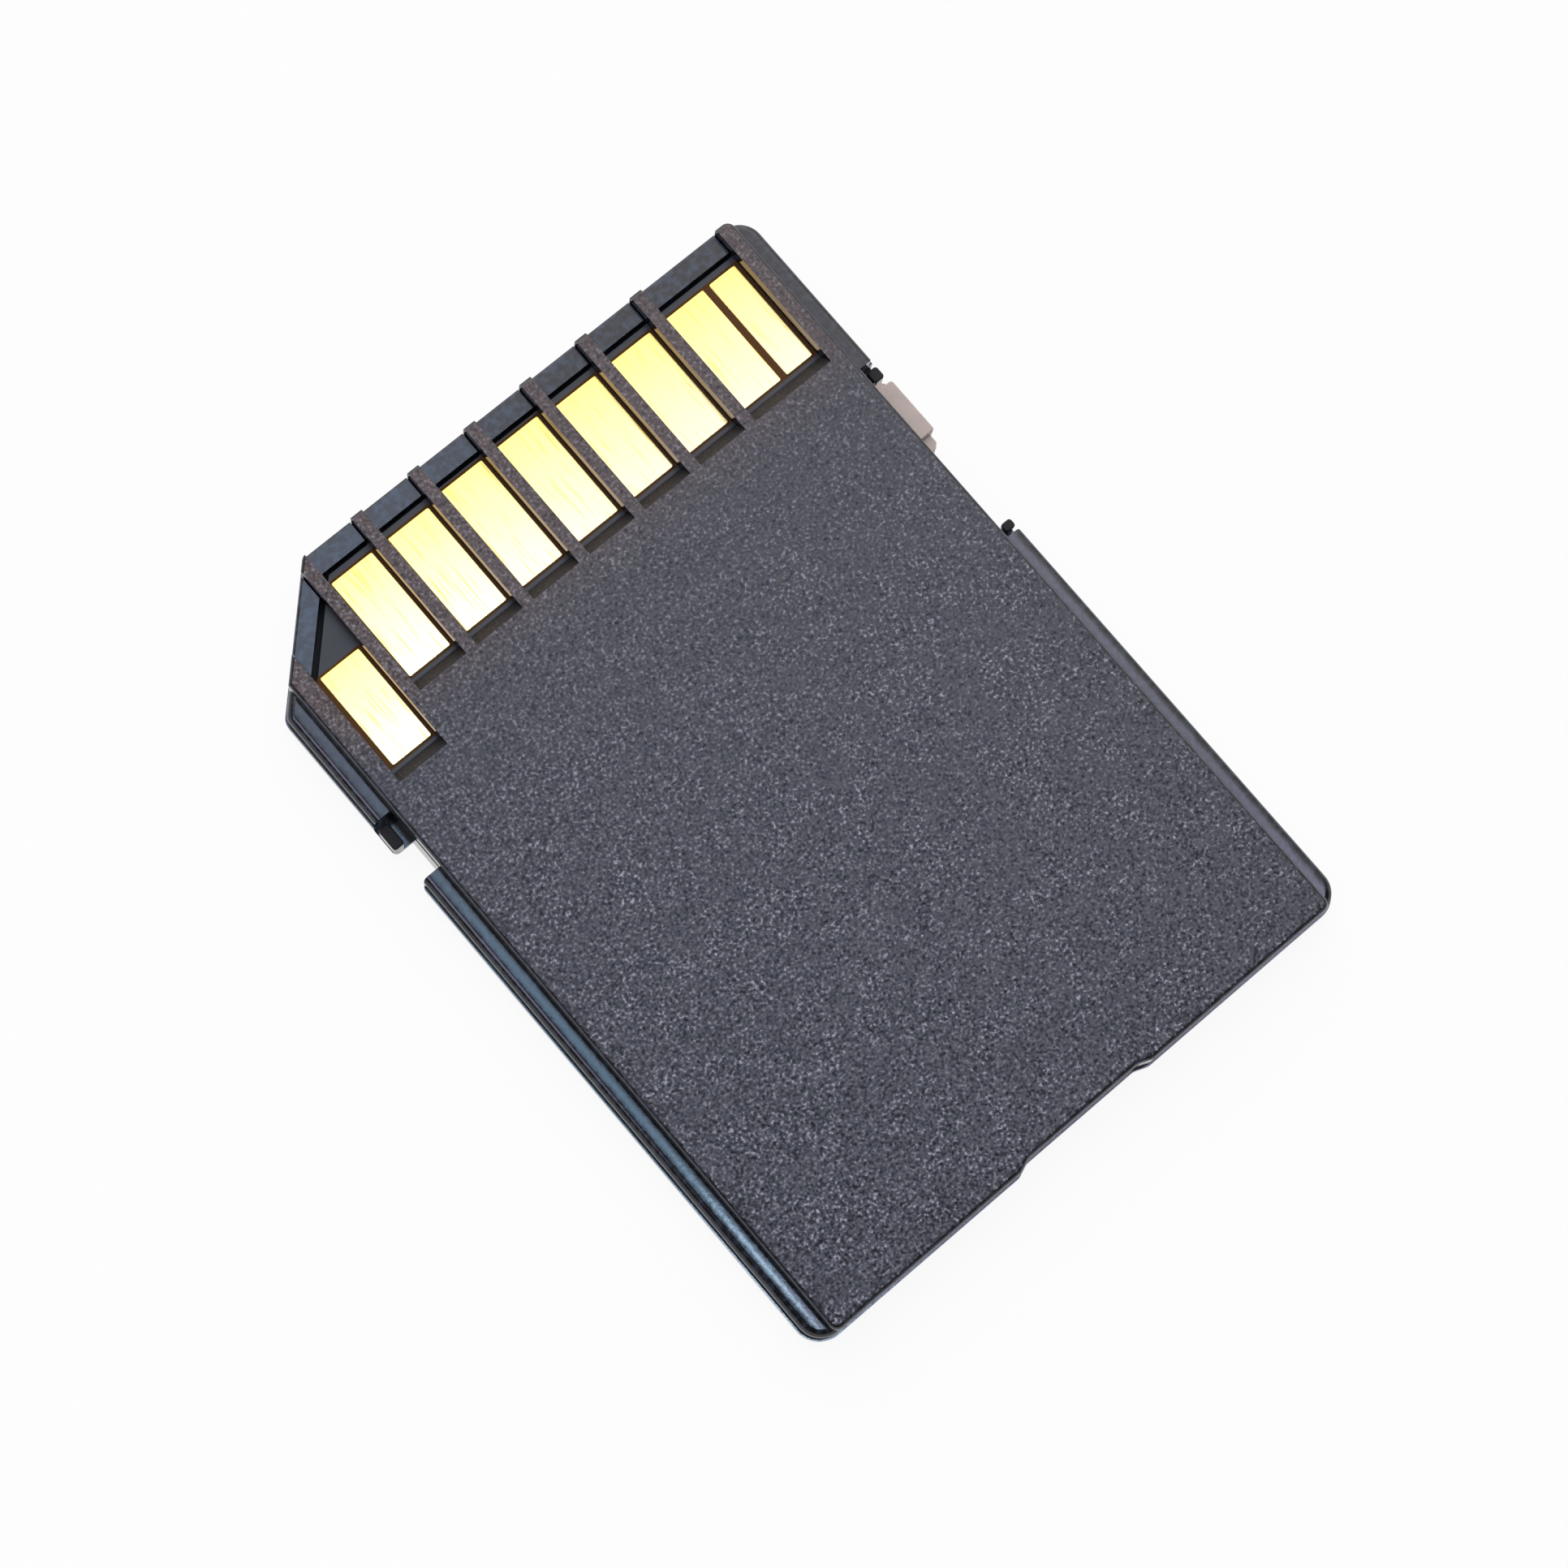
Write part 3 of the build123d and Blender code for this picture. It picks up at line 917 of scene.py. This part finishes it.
@dataclass
class BoardParts:
    """The chips, capacitors and resistors under the board, which the covers hide."""

    chips: tuple[str, ...] = ("memory_chip", "controller_chip")
    row: int = 3
    epoxy: MouldedEpoxy = MouldedEpoxy()
    capacitor: TinnedCeramic = TinnedCeramic("barium_titanate_ceramic", "#B39272", "#A1805F")
    resistor: TinnedCeramic = TinnedCeramic("glazed_alumina", "#2A2A2E", "#202024")

    def build(self) -> None:
        """Dresses each part."""
        epoxy = self.epoxy.build()
        for chip in self.chips:
            dress(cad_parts[chip], epoxy)
        for kind, finish in (("capacitor", self.capacitor), ("resistor", self.resistor)):
            material = finish.build()
            for number in range(1, self.row + 1):
                dress(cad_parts[f"{kind}_{number}"], material)


@dataclass(frozen=True)
class Softbox:
    """A flat studio lamp that faces straight down.

    A brightness of one makes its face look paper white.
    """

    name: str
    centre: tuple[float, float, float]
    size: tuple[float, float]
    brightness: float
    tint: str

    def build(self) -> None:
        """Hangs the lamp."""
        lamp = bpy.data.lights.new(self.name, "AREA")
        lamp.shape = "RECTANGLE"
        lamp.size, lamp.size_y = (side * MM for side in self.size)
        lamp.energy = self.brightness * pi * lamp.size * lamp.size_y
        lamp.color = linear(self.tint)[:3]
        hung = bpy.data.objects.new(self.name, lamp)
        hung.location = Vector(self.centre) * MM
        bpy.context.scene.collection.objects.link(hung)
        LOG.info("%s: lamp", self.name)


@dataclass(frozen=True)
class StudioSky:
    """The light of a room with one bright side, which fades to a dim side behind the camera.

    A pale band lies along the horizon, so that low views end in white paper and metal shows it.
    """

    name: str = "studio_sky"
    bright_side: tuple[float, float, float] = (0.45, 0.62, 0.64)
    tint: str = "#F6F3FA"
    bright: float = 2.4
    dim: float = 0.12
    # The light falls off between these two cosines of the angle from the bright side
    fade: tuple[float, float] = (0.6, 0.95)
    horizon: float = 0.95
    # The horizon's band ends between these two heights on the unit sphere
    band: tuple[float, float] = (0.5, 0.26)

    def build(self) -> bpy.types.World:
        """Builds the world.

        Returns:
            The finished world.
        """
        world = bpy.data.worlds.new(self.name)
        world.use_nodes = True
        tree = world.node_tree
        tree.nodes.clear()
        way = add_node(tree, "ShaderNodeTexCoord").outputs["Generated"]
        side = add_node(
            tree,
            "ShaderNodeVectorMath",
            {0: way, 1: Vector(self.bright_side).normalized()},
            operation="DOT_PRODUCT",
        ).outputs["Value"]
        glow = rescale(tree, side, self.fade, (self.dim, self.bright), smooth=True)
        band = rescale(tree, axes(tree, way)["Z"], self.band, (0.0, self.horizon))
        strength = calculate(tree, "MAXIMUM", glow, band)
        light = add_node(
            tree, "ShaderNodeBackground", {"Color": linear(self.tint), "Strength": strength}
        )
        add_node(tree, "ShaderNodeOutputWorld", {"Surface": light.outputs[0]})
        return world


@dataclass
class Studio:
    """The floor, the lamps, the sky and the camera."""

    floor_size: float = 4000.0
    floor_drop: float = 0.01
    paper: StudioPaper = StudioPaper()
    sky: StudioSky = StudioSky()
    # Each lamp shows in one part of the card: the left rail, the lips, the rear edge, the right
    # rail, the left rail's rear end and, by way of the pads, the window walls
    softboxes: tuple[Softbox, ...] = (
        Softbox("left_panel", (19.0, 22.0, 345.0), (40.0, 74.0), 5.0, "#9CD0FA"),
        Softbox("left_front_panel", (28.0, 84.0, 345.0), (62.0, 48.0), 1.9, "#A8CCFF"),
        Softbox("rear_strip", (64.0, -23.0, 345.0), (104.0, 10.0), 10.0, "#D8D6FF"),
        Softbox("right_panel", (107.0, 15.0, 345.0), (52.0, 90.0), 3.0, "#DEDEFF"),
        Softbox("rear_spot", (18.0, -8.0, 340.0), (16.0, 12.0), 36.0, "#CDE8FF"),
        Softbox("far_left_panel", (-195.0, 88.0, 345.0), (160.0, 130.0), 3.6, "#E4DCFF"),
    )
    image_side_px: float = 1932.0
    sensor_width: float = 36.0
    # Pinhole camera fitted to the card's edges, pads and ribs in the photograph
    focal_px: float = 4499.0
    camera_at: tuple[float, float, float] = (-22.375, -14.714, 123.459)
    camera_aim: tuple[float, float, float] = (-0.284, -0.602, 1.0)
    picture_up: tuple[float, float, float] = (0.62713, 0.75283, 0.19989)

    def build(self) -> None:
        """Builds the floor, the light and the camera."""
        self._floor()
        for softbox in self.softboxes:
            softbox.build()
        self._camera()
        scene = bpy.context.scene
        scene.world = self.sky.build()
        scene.view_settings.view_transform = "Standard"

    def _floor(self) -> None:
        """Lays the paper a hair under the card."""
        half = self.floor_size * MM / 2
        height = -self.floor_drop * MM
        sides = ((-half, -half), (half, -half), (half, half), (-half, half))
        data = bpy.data.meshes.new("floor")
        data.from_pydata([(x, y, height) for x, y in sides], [], [range(len(sides))])
        floor = bpy.data.objects.new("floor", data)
        bpy.context.scene.collection.objects.link(floor)
        dress(floor, self.paper.build())

    def _camera(self) -> None:
        """Sets the camera where the photograph was taken from."""
        lens = bpy.data.cameras.new("camera")
        lens.sensor_width = self.sensor_width
        lens.lens = self.focal_px / self.image_side_px * self.sensor_width
        lens.clip_start = MM
        camera = bpy.data.objects.new("camera", lens)
        backward = (Vector(self.camera_at) - Vector(self.camera_aim)).normalized()
        right = Vector(self.picture_up).cross(backward).normalized()
        turn = Matrix((right, backward.cross(right), backward)).transposed()
        camera.matrix_world = Matrix.Translation(Vector(self.camera_at) * MM) @ turn.to_4x4()
        bpy.context.scene.collection.objects.link(camera)
        bpy.context.scene.camera = camera


def main() -> None:
    logging.basicConfig(level=logging.INFO)
    for assembly in (Case(), LockSlider(), ContactBoard(), BoardParts(), Studio()):
        assembly.build()


if __name__ == "__main__":
    main()
